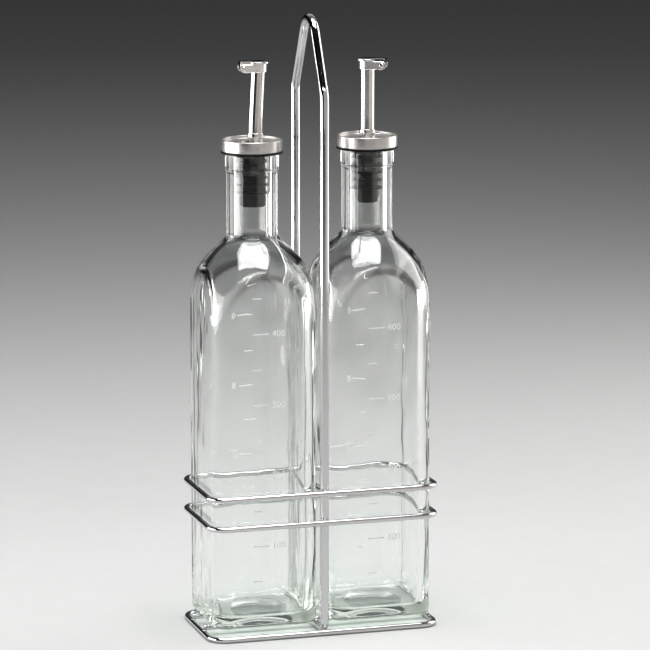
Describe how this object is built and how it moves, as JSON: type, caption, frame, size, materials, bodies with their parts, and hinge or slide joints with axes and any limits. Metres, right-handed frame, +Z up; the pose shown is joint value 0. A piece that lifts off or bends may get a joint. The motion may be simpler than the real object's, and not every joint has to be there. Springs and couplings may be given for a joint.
{
  "type": "cruet set",
  "caption": "Square glass oil and vinegar bottles with pouring stoppers and flip lids, standing in a chromed wire caddy with a tall pointed carrying handle.",
  "frame": {"origin": "on the table, under the middle of the stand's base", "axes": "+X along the stand from the left bottle to the right one, +Y from its front to its back, +Z up"},
  "size_m": [0.1304, 0.0654, 0.335],
  "materials": {
    "chrome": "bright polished chrome plating on round steel wire",
    "glass": "clear soda-lime glass with a faint green edge",
    "rubber": "matt black moulded rubber",
    "steel": "satin steel, brushed round the side",
    "polished_steel": "bright drawn stainless steel",
    "print": "white ceramic ink fired on the glass"
  },
  "bodies": {
    "stand": {"base_frame": "chrome", "base_wire_front": "chrome", "base_wire_back": "chrome", "lower_ring": "chrome", "upper_ring": "chrome", "handle_rod": "chrome", "divider_bar": "chrome"},
    "left_bottle": {"bottle_left": "glass"},
    "left_pourer": {"stopper_left": "rubber", "collar_left": "steel", "spout_tube_left": "polished_steel", "spout_ferrule_left": "polished_steel", "hinge_clip_left": "polished_steel", "hinge_pin_left": "polished_steel"},
    "left_lid": {"lid_left": "polished_steel"},
    "right_bottle": {"bottle_right": "glass"},
    "right_pourer": {"stopper_right": "rubber", "collar_right": "steel", "spout_tube_right": "polished_steel", "spout_ferrule_right": "polished_steel", "hinge_clip_right": "polished_steel", "hinge_pin_right": "polished_steel"},
    "right_lid": {"lid_right": "polished_steel"}
  },
  "joints": [
    {"name": "left_bottle_lift", "type": "slide", "parent": "stand", "child": "left_bottle", "axis": [0, 0, 1], "range_m": [0, 0.09]},
    {"name": "left_pourer_pull", "type": "slide", "parent": "left_bottle", "child": "left_pourer", "axis": [0, 0, 1], "range_m": [0, 0.035]},
    {"name": "left_lid_flip", "type": "hinge", "parent": "left_pourer", "child": "left_lid", "pos_m": [-0.03696, 0.00041, 0.30678], "axis": [-0.0872, -0.9962, 0], "range_deg": [0, 115]},
    {"name": "right_bottle_lift", "type": "slide", "parent": "stand", "child": "right_bottle", "axis": [0, 0, 1], "range_m": [0, 0.09]},
    {"name": "right_pourer_pull", "type": "slide", "parent": "right_bottle", "child": "right_pourer", "axis": [0, 0, 1], "range_m": [0, 0.035]},
    {"name": "right_lid_flip", "type": "hinge", "parent": "right_pourer", "child": "right_lid", "pos_m": [0.03882, -0.00686, 0.30678], "axis": [0.4226, 0.9063, 0], "range_deg": [0, 115]}
  ]
}
